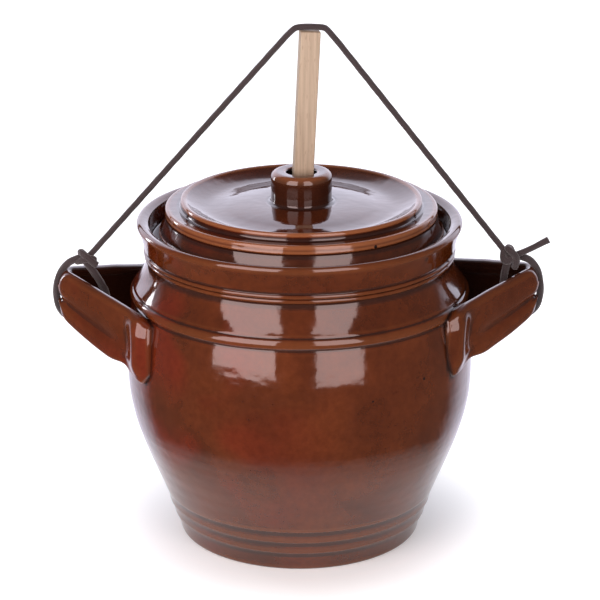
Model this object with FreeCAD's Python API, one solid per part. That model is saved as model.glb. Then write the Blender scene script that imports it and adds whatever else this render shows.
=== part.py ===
import FreeCAD, Part

import math
import os

# A stoneware fermentation crock: a turned pot with two strap handles, a dished lid with a bored
# knob, a square wooden press stick that stands in the pot and comes up through the knob, and a
# round elastic cord that is tied to both handles and pulled over the top of the stick.
#
# The origin is on the pot's axis at the middle of its foot. +Z is up, the handles point along X,
# and lengths are in millimetres.

V = FreeCAD.Vector
AXIS = V(0, 0, 1)

# ---------------------------------------------------------------- driving dimensions: the pot
CROCK_HEIGHT = 215.3
BODY_RADIUS = 113.8
FOOT_RADIUS = 80.5
NECK_RADIUS = 100.0
RIM_RADIUS = 106.2
WALL = 7.5
FLOOR = 9.0

FOOT_ROUND = 1.6
FOOT_BAND_HEIGHTS = (13.0, 8.8, 8.6)
FOOT_BAND_FLARES = (3.6, 2.4, 2.0)
FOOT_BAND_STEP = 0.7
FOOT_BAND_HOLLOW = 0.3

BELLY_HEIGHT = 112.0
BELLY_SLACK = 1.06
RIDGE_SET_IN = 3.6
RIDGE_BELOW_TOP = 45.3
RIDGE_WIDTH = 7.0
RIDGE_PROUD = 1.4
SHOULDER_SINK = 0.6
NECK_BELOW_TOP = 25.0
BEAD_RADIUS = 1.5
BEAD_PROUD = 0.4
RIM_BAND_ROOT = 1.7
RIM_SHOULDER = 3.3
RIM_CREST_INSET = 2.8
RIM_TOP_FALL = 1.7
MOUTH_RADIUS = 98.7
SEAT_DEPTH = 14.2
SEAT_WIDTH = 8.6
MOUTH_TAPER = 1.4

# ---------------------------------------------------------------- driving dimensions: the handles
HANDLE_REACH = 158.0
HANDLE_ROOT_Y = 56.0
HANDLE_HALF_ANGLE = 42.6
HANDLE_NOSE_RADIUS = 8.5
HANDLE_ROOT_HEIGHT = 45.0
HANDLE_NOSE_HEIGHT = 33.6
HANDLE_THICKNESS = 7.8
HANDLE_ROOT_Z = 142.0
HANDLE_RISE = 21.3
HANDLE_GROOVE = 0.9
HANDLE_GROOVE_AT = 0.62
HANDLE_GROOVE_WIDTH = 7.0
HANDLE_GROOVE_START = 12.0
HANDLE_SAG = 2.0
HANDLE_EDGE_ROUND = 3.5
NOSE_MARGIN = 1.0
HANDLE_TOP_CORNER = 9.0
HANDLE_LOW_CORNER = 6.0
RIGHT_HANDLE_LIFT = 5.0
RIGHT_HANDLE_DROOP = 2.5
RIGHT_HANDLE_SHIFT = 2.4
PAD_RADIUS = 6.6
PAD_HEIGHT = 45.0
PAD_FORWARD = 3.0

# ---------------------------------------------------------------- driving dimensions: the lid
LID_RADIUS = 93.0
LID_SHIFT = 1.2
LID_SEAT_CLEARANCE = 0.1
LID_EDGE_HEIGHT = 6.8
LOWER_LIP_RADIUS = 88.6
UPPER_LIP_RADIUS = 78.6
LOWER_LIP_FOOT = 16.9
LOWER_LIP_TOP = 22.6
UPPER_LIP_FOOT = 23.0
UPPER_LIP_TOP = 27.6
LIP_ROUND = 1.5
DISH_DEPTH = 6.0
DISH_RADIUS = 60.0
KNOB_FOOT_DROP = 2.6
LID_WALL = 6.4
LID_RING_WIDTH = 9.5
KNOB_RADIUS = 20.1
KNOB_TOP = 45.4
KNOB_ROUND = 4.6
KNOB_FOOT_ROUND = 3.4
HOLE_RADIUS = 9.7
HOLE_ROUND = 1.6

# ---------------------------------------------------------------- driving dimensions: stick, cord
STICK_WIDTH = 12.8
STICK_DEPTH = 10.0
STICK_TOP = 339.6
STICK_LEAN = 2.66
STICK_TURN = 9.0
STICK_TOP_X = 6.7
STICK_CHAMFER = 0.5
STICK_FOOT_GAP = 0.1

CORD_DIAMETER = 4.0
CORD_REST_GAP = 0.2
KNOT_WIDTH = 10.4
KNOT_LENGTH = 12.0
KNOT_LIP = 0.6

# ---------------------------------------------------------------- heights worked out from these
RIDGE_TOP = CROCK_HEIGHT - RIDGE_BELOW_TOP
RIDGE_FOOT = RIDGE_TOP - RIDGE_WIDTH
RIDGE_RADIUS = BODY_RADIUS - RIDGE_SET_IN
NECK_HEIGHT = CROCK_HEIGHT - NECK_BELOW_TOP
SEAT_HEIGHT = CROCK_HEIGHT - SEAT_DEPTH
HANDLE_NOSE_X = HANDLE_REACH - HANDLE_THICKNESS / 2
GROOVE_SIDE = 1 - 2 * HANDLE_GROOVE_AT
CORD_RADIUS = CORD_DIAMETER / 2


# ---------------------------------------------------------------- outlines and turning
class Outline:
    """A turned piece's half outline: edges laid end to end in the plane of radius and height."""

    def __init__(self, radius, height):
        self.edges = []
        self.start = self.here = V(radius, 0, height)

    def line(self, radius, height):
        there = V(radius, 0, height)
        self.edges.append(Part.makeLine(self.here, there))
        self.here = there

    def arc(self, through, end):
        middle, there = V(through[0], 0, through[1]), V(end[0], 0, end[1])
        self.edges.append(Part.Arc(self.here, middle, there).toShape())
        self.here = there

    def curve(self, points):
        """One smooth curve from here through the given points of radius and height."""
        spots = [self.here] + [V(radius, 0, height) for radius, height in points]
        spline = Part.BSplineCurve()
        spline.interpolate(spots)
        self.edges.append(spline.toShape())
        self.here = spots[-1]

    def bulge(self, radius, height, rise):
        """An arc to a point, standing out by rise from the straight line, to the right of it."""
        there = V(radius, 0, height)
        along = there - self.here
        side = V(along.z, 0, -along.x).normalize()
        middle = (self.here + there) * 0.5 + side * rise
        self.arc((middle.x, middle.z), (radius, height))

    def turned(self):
        """The solid that the outline sweeps when it is closed along the axis."""
        if self.here.x > 0:
            self.line(0, self.here.z)
        if self.start.x > 0:
            self.line(0, self.start.z)
        self.line(self.start.x, self.start.z)
        return self.solid()

    def ring(self):
        """The solid of an outline that closes on itself off the axis."""
        if (self.here - self.start).Length > 1e-6:
            self.line(self.start.x, self.start.z)
        return self.solid()

    def solid(self):
        edges = [edge for edge in self.edges if edge.Length > 1e-6]
        return Part.Face(Part.Wire(edges)).revolve(V(0, 0, 0), AXIS, 360)


# ---------------------------------------------------------------- the pot
def foot_outline(outline):
    """Three slightly hollow bands, each ending in a small sharp step."""
    height = FOOT_ROUND
    radius = FOOT_RADIUS
    for rise, flare in zip(FOOT_BAND_HEIGHTS, FOOT_BAND_FLARES):
        top = height + rise - (FOOT_ROUND if height == FOOT_ROUND else 0)
        outline.bulge(radius + flare, top, -FOOT_BAND_HOLLOW)
        radius += flare + FOOT_BAND_STEP
        height = top
        outline.line(radius, height)
    return radius, height


def belly_curve(radius, height, count=8):
    """From the foot the wall swings out as about a quarter sine wave, upright at the belly."""
    steps = [(i + 1) / count for i in range(count)]
    return [(radius + (BODY_RADIUS - radius) * math.sin(math.pi / 2 * t ** BELLY_SLACK),
             height + (BELLY_HEIGHT - height) * t) for t in steps]


def shoulder_curve(radius, count=5):
    """Above the ridge the wall draws in to the neck, less and less steeply."""
    steps = [(i + 1) / count for i in range(count)]
    return [(NECK_RADIUS + (radius - NECK_RADIUS) * (1 - t) ** 1.85,
             RIDGE_TOP + (NECK_HEIGHT - RIDGE_TOP) * t) for t in steps]


def pot_outside():
    outline = Outline(FOOT_RADIUS - FOOT_ROUND, 0)
    outline.bulge(FOOT_RADIUS, FOOT_ROUND, FOOT_ROUND * 0.2)
    outline.curve(belly_curve(*foot_outline(outline)))
    outline.bulge(RIDGE_RADIUS, RIDGE_FOOT, RIDGE_SET_IN * 0.3)
    outline.bulge(RIDGE_RADIUS - SHOULDER_SINK, RIDGE_TOP, RIDGE_PROUD)
    outline.curve(shoulder_curve(RIDGE_RADIUS - SHOULDER_SINK))
    for number in (1, 2):
        outline.bulge(NECK_RADIUS + number * BEAD_PROUD, NECK_HEIGHT + number * 2 * BEAD_RADIUS,
                      BEAD_RADIUS)
    band_foot = NECK_HEIGHT + 4 * BEAD_RADIUS
    shoulder = CROCK_HEIGHT - RIM_SHOULDER
    outline.line(NECK_RADIUS + RIM_BAND_ROOT, band_foot + 0.6)
    outline.bulge(RIM_RADIUS, shoulder, -0.6)
    crest = RIM_RADIUS - RIM_CREST_INSET
    outline.bulge(crest, CROCK_HEIGHT, RIM_CREST_INSET * 0.38)
    return outline.turned()


def pot_inside():
    """The hollow: a bored mouth, the ledge that the lid sits on, and the space below it."""
    top = CROCK_HEIGHT + 1
    mouth_edge = CROCK_HEIGHT - RIM_TOP_FALL
    slope = RIM_RADIUS - RIM_CREST_INSET
    outline = Outline(slope, top)
    outline.line(slope, CROCK_HEIGHT)
    outline.bulge(MOUTH_RADIUS + 0.6, mouth_edge, 0.25)
    outline.bulge(MOUTH_RADIUS, mouth_edge - 0.9, -0.25)
    outline.line(MOUTH_RADIUS - MOUTH_TAPER, SEAT_HEIGHT + 1.5)
    outline.bulge(MOUTH_RADIUS - MOUTH_TAPER - 1.5, SEAT_HEIGHT, 0.6)
    ledge = MOUTH_RADIUS - SEAT_WIDTH
    outline.line(ledge + 1, SEAT_HEIGHT)
    outline.bulge(ledge, SEAT_HEIGHT - 1, -0.4)
    outline.line(ledge, NECK_HEIGHT - 2)
    inner_belly = BODY_RADIUS - WALL
    inner_ridge = RIDGE_RADIUS - WALL
    swing = (inner_ridge - ledge) / 10
    outline.bulge((ledge + inner_ridge) / 2, (outline.here.z + RIDGE_FOOT) / 2, swing)
    outline.bulge(inner_ridge, RIDGE_FOOT, -swing)
    outline.bulge(inner_belly, BELLY_HEIGHT, -RIDGE_SET_IN * 0.3)
    count = 7
    low = FLOOR + 12
    steps = [(i + 1) / count for i in range(count)]
    foot_inner = FOOT_RADIUS - WALL + 5
    outline.curve([(foot_inner + (inner_belly - foot_inner) * math.cos(math.pi / 2 * t),
                    BELLY_HEIGHT + (low - BELLY_HEIGHT) * t) for t in steps])
    outline.bulge(foot_inner - 12, FLOOR, 3.2)
    return outline.turned()


# ---------------------------------------------------------------- the handles
def strap_lines():
    """Named spots of the strap's middle line in plan, for the arm in front of the nose."""
    angle = math.radians(HANDLE_HALF_ANGLE)
    centre = V(HANDLE_NOSE_X - HANDLE_NOSE_RADIUS, 0, 0)
    along = V(math.cos(angle), math.sin(angle), 0)
    outward = V(math.sin(angle), -math.cos(angle), 0)
    bend = centre + outward * HANDLE_NOSE_RADIUS
    root = bend - along * ((HANDLE_ROOT_Y + bend.y) / math.sin(angle))
    return centre, along, outward, bend, root


def strap_side(off, height):
    """One face of the strap in plan, off outwards from its middle line: arm, nose, arm."""
    centre, along, outward, bend, root = strap_lines()
    lift = V(0, 0, height)
    radius = HANDLE_NOSE_RADIUS + off
    near = root + outward * off + lift
    turn = bend + outward * off + lift
    tip = centre + V(radius, 0, 0) + lift
    return near, turn, tip, V(turn.x, -turn.y, height), V(near.x, -near.y, height)


def strap_plan(height):
    """The strap seen from above: two arms that meet in a tight rounded nose."""
    outer = strap_side(HANDLE_THICKNESS / 2, height)
    inner = strap_side(-HANDLE_THICKNESS / 2, height)
    edges = [Part.makeLine(outer[0], outer[1]),
             Part.Arc(outer[1], outer[2], outer[3]).toShape(),
             Part.makeLine(outer[3], outer[4]),
             Part.makeLine(outer[4], inner[4]),
             Part.makeLine(inner[4], inner[3]),
             Part.Arc(inner[3], inner[2], inner[1]).toShape(),
             Part.makeLine(inner[1], inner[0]),
             Part.makeLine(inner[0], outer[0])]
    return Part.Face(Part.Wire(edges))


def strap_edge_height(x, side):
    """Height of the strap's top (side 1), middle (0) or bottom (-1) at a distance from the axis."""
    root_x = strap_lines()[4].x
    share = (x - root_x) / (HANDLE_NOSE_X - root_x)
    tall = HANDLE_ROOT_HEIGHT + (HANDLE_NOSE_HEIGHT - HANDLE_ROOT_HEIGHT) * share
    return HANDLE_ROOT_Z + HANDLE_RISE * share + side * tall / 2


def strap_elevation(depth):
    """The strap seen from the front: it rises and narrows towards the nose."""
    start = strap_lines()[4].x - 2 * HANDLE_THICKNESS
    end = HANDLE_REACH + NOSE_MARGIN

    def spot(x, side, bend=0):
        return V(x, -depth, strap_edge_height(x, side) + bend)

    middle = (start + end) / 2
    upper = Part.Arc(spot(start, 1), spot(middle, 1, HANDLE_SAG / 4), spot(end, 1)).toShape()
    lower = Part.Arc(spot(end, -1), spot(middle, -1, -HANDLE_SAG), spot(start, -1)).toShape()
    return Part.Face(Part.Wire([upper, Part.makeLine(spot(end, 1), spot(end, -1)), lower,
                                Part.makeLine(spot(start, -1), spot(start, 1))]))


def strap():
    """The bent strap with its long edges rounded over."""
    tall = 2 * HANDLE_ROOT_HEIGHT + HANDLE_RISE
    low = HANDLE_ROOT_Z - tall / 2
    deep = 2 * HANDLE_ROOT_Y
    solid = strap_plan(low).extrude(V(0, 0, tall))
    solid = solid.common(strap_elevation(deep).extrude(V(0, 2 * deep, 0)))
    solid = solid.cut(groove())
    ends = strap_lines()[4].x + HANDLE_THICKNESS
    long_edges = [edge for edge in solid.Edges
                  if edge.BoundBox.XMax > ends and edge.BoundBox.ZLength < edge.Length * 0.6
                  and abs(edge.CenterOfMass.z - strap_edge_height(edge.CenterOfMass.x, GROOVE_SIDE)) > 4]
    solid = solid.makeFillet(HANDLE_EDGE_ROUND, long_edges)
    return solid.cut([nose_corner(1, HANDLE_TOP_CORNER), nose_corner(-1, HANDLE_LOW_CORNER)])


def nose_corner(side, radius):
    """What is rubbed off the nose's top (side 1) or bottom (-1) corner to leave it round."""
    x = HANDLE_REACH - radius
    z = strap_edge_height(x, side) - side * radius
    low = z if side > 0 else z - 2 * radius
    wide = 4 * HANDLE_THICKNESS
    block = Part.makeBox(2 * radius, wide, 2 * radius, V(x, -wide / 2, low))
    return block.cut(Part.makeCylinder(radius, wide, V(x, -wide / 2, z), V(0, 1, 0)))


def groove():
    """A shallow round-bottomed channel along the strap's outer face, the cutter of it."""
    centre, along, outward, bend, root = strap_lines()
    radius = HANDLE_GROOVE_WIDTH ** 2 / (8 * HANDLE_GROOVE) + HANDLE_GROOVE / 2
    off = HANDLE_THICKNESS / 2 + radius - HANDLE_GROOVE
    start = root + along * HANDLE_GROOVE_START + outward * off
    end = bend + outward * off
    start.z, end.z = strap_edge_height(start.x, GROOVE_SIDE), strap_edge_height(end.x, GROOVE_SIDE)
    front = Part.makeCylinder(radius, (end - start).Length, start, end - start)
    back = front.mirror(V(0, 0, 0), V(0, 1, 0))
    return front.fuse(back)


def pad(point):
    """The strap's end pressed on to the wall: an upright rounded bar."""
    half = PAD_HEIGHT / 2
    outline = Outline(0, -half)
    outline.arc((PAD_RADIUS * math.sin(math.pi / 4), -half + PAD_RADIUS * 0.29289),
                (PAD_RADIUS, -half + PAD_RADIUS))
    outline.line(PAD_RADIUS, half - PAD_RADIUS)
    outline.arc((PAD_RADIUS * math.sin(math.pi / 4), half - PAD_RADIUS * 0.29289), (0, half))
    bar = outline.turned()
    bar.translate(V(point.x, point.y, HANDLE_ROOT_Z))
    return bar


def handle(side, lift=0, droop=0, shift=0):
    """One strap handle with its two pads; side is +1 on the right and -1 on the left."""
    outward, root = strap_lines()[2], strap_lines()[4]
    seat = root + outward * PAD_FORWARD
    pieces = [strap(), pad(seat), pad(V(seat.x, -seat.y, 0))]
    for piece in pieces:
        piece.rotate(V(root.x, 0, HANDLE_ROOT_Z), V(0, 1, 0), droop)
        piece.translate(V(-shift, 0, lift))
    if side < 0:
        pieces = [piece.mirror(V(0, 0, 0), V(1, 0, 0)) for piece in pieces]
    return pieces


def crock():
    """Pot and handles are fired as one piece of clay."""
    clay = pot_outside()
    pieces = handle(1, RIGHT_HANDLE_LIFT, RIGHT_HANDLE_DROOP, RIGHT_HANDLE_SHIFT) + handle(-1)
    return clay.fuse(pieces).cut(pot_inside()).removeSplitter()


# ---------------------------------------------------------------- the lid
def lid():
    """A dished lid with two stepped lips, a sloping edge that drops inside the rim, and a knob."""
    base = SEAT_HEIGHT + LID_SEAT_CLEARANCE
    dish_foot = KNOB_RADIUS + KNOB_FOOT_ROUND
    dish_edge = UPPER_LIP_RADIUS - 2 * LIP_ROUND
    outline = Outline(LID_RADIUS - LID_RING_WIDTH, base)
    outline.line(LID_RADIUS - 1, base)
    outline.bulge(LID_RADIUS, base + 1, 0.3)
    outline.line(LID_RADIUS, base + LID_EDGE_HEIGHT - 1)
    outline.bulge(LID_RADIUS - 0.6, base + LID_EDGE_HEIGHT, 0.25)
    outline.bulge(LOWER_LIP_RADIUS, base + LOWER_LIP_FOOT, -0.5)
    outline.line(LOWER_LIP_RADIUS, base + LOWER_LIP_TOP - LIP_ROUND)
    outline.bulge(LOWER_LIP_RADIUS - LIP_ROUND, base + LOWER_LIP_TOP, LIP_ROUND * 0.3)
    outline.bulge(UPPER_LIP_RADIUS, base + UPPER_LIP_FOOT, -1.1)
    outline.line(UPPER_LIP_RADIUS, base + UPPER_LIP_TOP - LIP_ROUND)
    outline.bulge(UPPER_LIP_RADIUS - LIP_ROUND, base + UPPER_LIP_TOP, LIP_ROUND * 0.3)
    outline.bulge(dish_edge, base + UPPER_LIP_TOP, 0.3)
    bottom = base + UPPER_LIP_TOP - DISH_DEPTH
    knob_foot = base + UPPER_LIP_TOP - KNOB_FOOT_DROP
    outline.curve([(dish_edge - 3.2, bottom + DISH_DEPTH * 0.66), (DISH_RADIUS + 6, bottom + 1.2),
                   (DISH_RADIUS, bottom), (DISH_RADIUS - 8, bottom + 0.5),
                   ((DISH_RADIUS + dish_foot) / 2, (bottom + knob_foot) / 2 + 0.3),
                   (dish_foot, knob_foot)])
    outline.bulge(KNOB_RADIUS, knob_foot + KNOB_FOOT_ROUND, -KNOB_FOOT_ROUND * 0.29)
    outline.line(KNOB_RADIUS - 0.3, base + KNOB_TOP - KNOB_ROUND)
    outline.bulge(KNOB_RADIUS - 0.3 - KNOB_ROUND, base + KNOB_TOP, KNOB_ROUND * 0.29)
    outline.line(HOLE_RADIUS + HOLE_ROUND, base + KNOB_TOP)
    outline.bulge(HOLE_RADIUS, base + KNOB_TOP - HOLE_ROUND, HOLE_ROUND * 0.29)
    under = bottom - LID_WALL
    outline.line(HOLE_RADIUS, under)
    outline.line(UPPER_LIP_RADIUS - LID_WALL, under + 1.2)
    outline.curve([(LOWER_LIP_RADIUS - LID_WALL - 2.5, base + LOWER_LIP_FOOT - 4.5),
                   (LID_RADIUS - LID_RING_WIDTH, base + 2)])
    cover = outline.ring()
    cover.translate(V(LID_SHIFT, 0, 0))
    return cover


# ---------------------------------------------------------------- the press stick
def press_stick():
    """A planed square stick that leans against the side of the knob's hole."""
    half_w, half_d, cut = STICK_WIDTH / 2, STICK_DEPTH / 2, STICK_CHAMFER
    low = FLOOR + STICK_FOOT_GAP
    margin = 10
    corners = [(half_w - cut, -half_d), (half_w, -half_d + cut), (half_w, half_d - cut),
               (half_w - cut, half_d), (-half_w + cut, half_d), (-half_w, half_d - cut),
               (-half_w, -half_d + cut), (-half_w + cut, -half_d)]
    spots = [V(x, y, -margin) for x, y in corners]
    length = (STICK_TOP - low) / math.cos(math.radians(STICK_LEAN))
    blank = Part.Face(Part.makePolygon(spots + spots[:1])).extrude(V(0, 0, length + 2 * margin))
    blank.rotate(V(0, 0, 0), AXIS, STICK_TURN)
    blank.rotate(V(0, 0, 0), V(0, 1, 0), STICK_LEAN)
    drift = math.tan(math.radians(STICK_LEAN)) * (STICK_TOP - low)
    blank.translate(V(STICK_TOP_X - drift, 0, low))
    size = 4 * (STICK_WIDTH + margin)
    keep = Part.makeBox(size, size, STICK_TOP - low, V(-size / 2, -size / 2, low))
    return blank.common(keep)


# ---------------------------------------------------------------- the cord
def rounded_path(points):
    """Straight runs joined by tangent arcs, as large as the shorter run at each corner allows."""
    edges, radii = [], []
    here = points[0]
    for before, corner, after in zip(points, points[1:], points[2:]):
        back, ahead = before - corner, after - corner
        half_turn = (math.pi - back.getAngle(ahead)) / 2
        cut = 0.45 * min(back.Length, ahead.Length)
        size = cut / math.tan(half_turn)
        radii.append(size)
        start = corner + back.normalize() * cut
        end = corner + ahead.normalize() * cut
        inward = (start + end) * 0.5 - corner
        reach = size / math.cos(half_turn) - size
        middle = corner + inward.normalize() * reach
        edges.append(Part.LineSegment(here, start).toShape())
        edges.append(Part.Arc(start, middle, end).toShape())
        here = end
    edges.append(Part.LineSegment(here, points[-1]).toShape())
    return Part.Wire(edges), radii


def tube(name, points):
    """A round tube along a route; its volume is compared with its section times its length."""
    path, radii = rounded_path(points)
    way = (points[1] - points[0]).normalize()
    ring = Part.Wire(Part.makeCircle(CORD_RADIUS, points[0], way))
    body = path.makePipeShell([ring], True, False)
    want = math.pi * CORD_RADIUS ** 2 * path.Length
    print(name, "length %.1f" % path.Length, "volume ratio %.4f" % (body.Volume / want),
          "radii", " ".join("%.1f" % size for size in radii))
    return body


def knot(centre, toward, stub=None):
    """A knot pulled tight: a short barrel round the cord, and the stub of a cut end."""
    half = KNOT_LENGTH / 2
    end_radius = CORD_RADIUS + KNOT_LIP
    outline = Outline(0, -half)
    outline.line(end_radius, -half)
    outline.curve([(KNOT_WIDTH / 2, 0), (end_radius, half)])
    barrel = outline.turned()
    barrel.Placement = FreeCAD.Placement(centre, FreeCAD.Rotation(AXIS, toward - centre))
    if stub:
        barrel = barrel.fuse(Part.makeCylinder(CORD_RADIUS, stub.Length, centre, stub))
    return barrel


# The cord's routes are hand-laid. It leaves the stick's top edges in two small turns each, so
# that it lies flat on the end grain, and it is straight from there to the knots.
STICK_HALF_TOP = (STICK_WIDTH * math.cos(math.radians(STICK_TURN))
                  + STICK_DEPTH * math.sin(math.radians(STICK_TURN))) / 2
OVER = STICK_TOP + CORD_RADIUS + CORD_REST_GAP
LEFT_EDGE = STICK_TOP_X - STICK_HALF_TOP
RIGHT_EDGE = STICK_TOP_X + STICK_HALF_TOP
LEFT_KNOT = V(-139.5, -1.0, 186.8)
RIGHT_KNOT = V(136.6, -1.0, 189.2)
SPAN_ROUTE = [LEFT_KNOT,
              V(LEFT_EDGE - 4.2, 0, OVER - 1.7),
              V(LEFT_EDGE - 0.4, 0, OVER),
              V(RIGHT_EDGE + 0.4, 0, OVER),
              V(RIGHT_EDGE + 4.2, 0, OVER - 1.8),
              RIGHT_KNOT]

# Each handle loop runs from the knot down inside the handle, under its nose, up the outside and
# back to the knot.
LEFT_LOOP = [LEFT_KNOT, V(-131.5, -2.0, 175.5), V(-127.8, -2.5, 162.0), V(-129.5, -2.5, 149.5),
             V(-137.5, -1.0, 142.6), V(-147.5, 0.5, 140.6), V(-157.5, 2.0, 142.6),
             V(-162.4, 2.5, 151.5), V(-162.4, 2.5, 163.0), V(-161.4, 2.0, 174.0),
             V(-156.4, 1.2, 182.8), V(-148.5, 0.6, 187.2), LEFT_KNOT]
RIGHT_LOOP = [RIGHT_KNOT, V(133.8, -2.0, 176.0), V(133.2, -2.0, 162.0), V(135.6, -1.5, 150.5),
              V(143.6, 0.0, 144.3), V(153.4, 1.5, 144.2), V(159.4, 2.5, 151.5),
              V(160.0, 2.5, 163.0), V(159.2, 2.0, 175.0), V(155.0, 1.0, 184.8),
              V(147.0, 0.6, 188.2), RIGHT_KNOT]
TAIL_ROUTE = [RIGHT_KNOT, V(150.0, -3.6, 195.0), V(164.0, -4.5, 202.6)]
LEFT_STUB = V(8.2, -1.2, -3.4)


def cord_pieces():
    """The knots, and the tubes that end face to face on them."""
    ties = {"knot_left": knot(LEFT_KNOT, SPAN_ROUTE[1], LEFT_STUB),
            "knot_right": knot(RIGHT_KNOT, SPAN_ROUTE[-2])}
    tubes = {"cord_span": tube("cord_span", SPAN_ROUTE),
             "handle_loop_left": tube("handle_loop_left", LEFT_LOOP),
             "handle_loop_right": tube("handle_loop_right", RIGHT_LOOP),
             "cord_tail": tube("cord_tail", TAIL_ROUTE)}
    for name, body in tubes.items():
        outer = body.cut(list(ties.values()))
        ties[name] = max(outer.Solids, key=lambda solid: solid.Volume)
    return ties


def parts():
    solids = {"crock": crock(), "lid": lid(), "press_stick": press_stick()}
    solids.update(cord_pieces())
    return solids


def main():
    os.makedirs("parts", exist_ok=True)
    for name, shape in parts().items():
        shape.exportStep("parts/" + name + ".step")
        box = shape.BoundBox
        print("%-18s valid %s, solids %d, %.0f mm3, x %.1f to %.1f, y %.1f to %.1f, z %.1f to %.1f"
              % (name, shape.isValid(), len(shape.Solids), shape.Volume, box.XMin, box.XMax,
                 box.YMin, box.YMax, box.ZMin, box.ZMax))


main()
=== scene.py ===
# %% [markdown]
# # A fermentation crock with its lid, press stick and cord
#
# The pot is thrown stoneware under a shiny iron-brown glaze, with two strap handles. A dished lid
# sits inside its rim, a squared wooden stick comes up through the lid's bored knob, and a woven
# elastic cord is tied to both handles and pulled over the stick's top, so that it presses down on
# what ferments inside.
#
# The solid model of the crock already exists as a fixed frame, in metres. Every piece below is
# built around it, at its real size, and rides on the frame's one body.

import math

import bmesh
import bpy
import numpy as np
from mathutils import Matrix, Vector, noise
from mathutils.bvhtree import BVHTree


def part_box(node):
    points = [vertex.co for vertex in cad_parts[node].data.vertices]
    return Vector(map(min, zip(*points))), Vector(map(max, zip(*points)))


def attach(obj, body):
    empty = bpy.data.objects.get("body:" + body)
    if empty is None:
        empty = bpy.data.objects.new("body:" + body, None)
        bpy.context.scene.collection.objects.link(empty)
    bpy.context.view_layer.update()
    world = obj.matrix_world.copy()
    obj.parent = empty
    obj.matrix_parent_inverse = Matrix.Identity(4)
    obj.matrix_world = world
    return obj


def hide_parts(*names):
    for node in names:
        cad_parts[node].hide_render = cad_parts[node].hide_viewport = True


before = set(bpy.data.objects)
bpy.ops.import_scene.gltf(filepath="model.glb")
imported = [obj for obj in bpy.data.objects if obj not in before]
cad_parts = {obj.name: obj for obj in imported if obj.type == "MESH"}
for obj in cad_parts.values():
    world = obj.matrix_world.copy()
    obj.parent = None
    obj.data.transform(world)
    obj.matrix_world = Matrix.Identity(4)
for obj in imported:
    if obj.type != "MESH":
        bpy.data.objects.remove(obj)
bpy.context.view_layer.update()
print("nodes:", ", ".join(sorted(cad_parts)))

# %% Units and small helpers
MM = 0.001
BODY = "root"
UP = Vector((0, 0, 1))
scene = bpy.context.scene
scene.view_settings.view_transform = "Standard"


def linear(hex_colour):
    """An sRGB hex colour as the linear red, green, blue and alpha that shaders take."""
    channels = [int(hex_colour[i:i + 2], 16) / 255 for i in (1, 3, 5)]
    return tuple(c / 12.92 if c <= 0.04045 else ((c + 0.055) / 1.055) ** 2.4
                 for c in channels) + (1.0,)


def add(tree, kind, inputs=None, **settings):
    """Adds one node: its settings, then its inputs, each a plain value or another node's output."""
    made = tree.nodes.new(kind)
    for name, value in settings.items():
        setattr(made, name, value)
    for name, value in (inputs or {}).items():
        if isinstance(value, bpy.types.NodeSocket):
            tree.links.new(value, made.inputs[name])
        else:
            made.inputs[name].default_value = value
    return made


def show(name, mesh, material, nodes):
    """Makes a finished piece from a mesh: smooth faces, a material, its body and its CAD node."""
    piece = bpy.data.objects.new(name, mesh)
    scene.collection.objects.link(piece)
    mesh.materials.clear()
    mesh.materials.append(material)
    mesh.shade_smooth()
    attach(piece, BODY)
    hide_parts(*nodes)
    print(name, "has", len(mesh.polygons), "faces")
    return piece


# %% [markdown]
# ## The camera
#
# A long lens from a little over a metre and a half keeps the pot's sides nearly parallel, and the
# camera looks down at it by a little under twenty degrees, so that the lid's dish shows.

# %% Place the camera
CAMERA_DISTANCE = 1.642
CAMERA_DROP = math.radians(19.38)
LOOK_AT = Vector((0.0003, 0, 0.1577))
LENS = 149.3

camera_data = bpy.data.cameras.new("camera")
camera_data.lens = LENS
camera_data.sensor_width = 36
camera = bpy.data.objects.new("camera", camera_data)
scene.collection.objects.link(camera)
camera.location = LOOK_AT + CAMERA_DISTANCE * Vector((0, -math.cos(CAMERA_DROP), math.sin(CAMERA_DROP)))
camera.rotation_euler = (math.pi / 2 - CAMERA_DROP, 0, 0)
scene.camera = camera
print("camera at", tuple(round(c, 3) for c in camera.location))

# %% [markdown]
# ## The cord
#
# The cord is one length of round elastic with a woven sleeve, 4 mm thick where it is stretched.
# There its route is straight from each knot to the stick, with two small turns on the stick's top.
# The loops and the knots aren't stretched, so they are drawn a little thicker.
#
# A NURBS spline of order 3 stays close to its control points and never kinks.
#
# The sleeve could be only a pattern of colour. It is swept as a mesh here, because a mesh can
# carry real ribs and a map that runs along it for the weave.

# %% The woven cord's material
CORD_DIAMETER = 4.0 * MM
CORD_RADIUS = CORD_DIAMETER / 2
WEAVE_PITCH = 1.1 * MM      # one crossing of the sleeve's yarns, drawn a little coarse so it shows
YARNS_ROUND = 10


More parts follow.
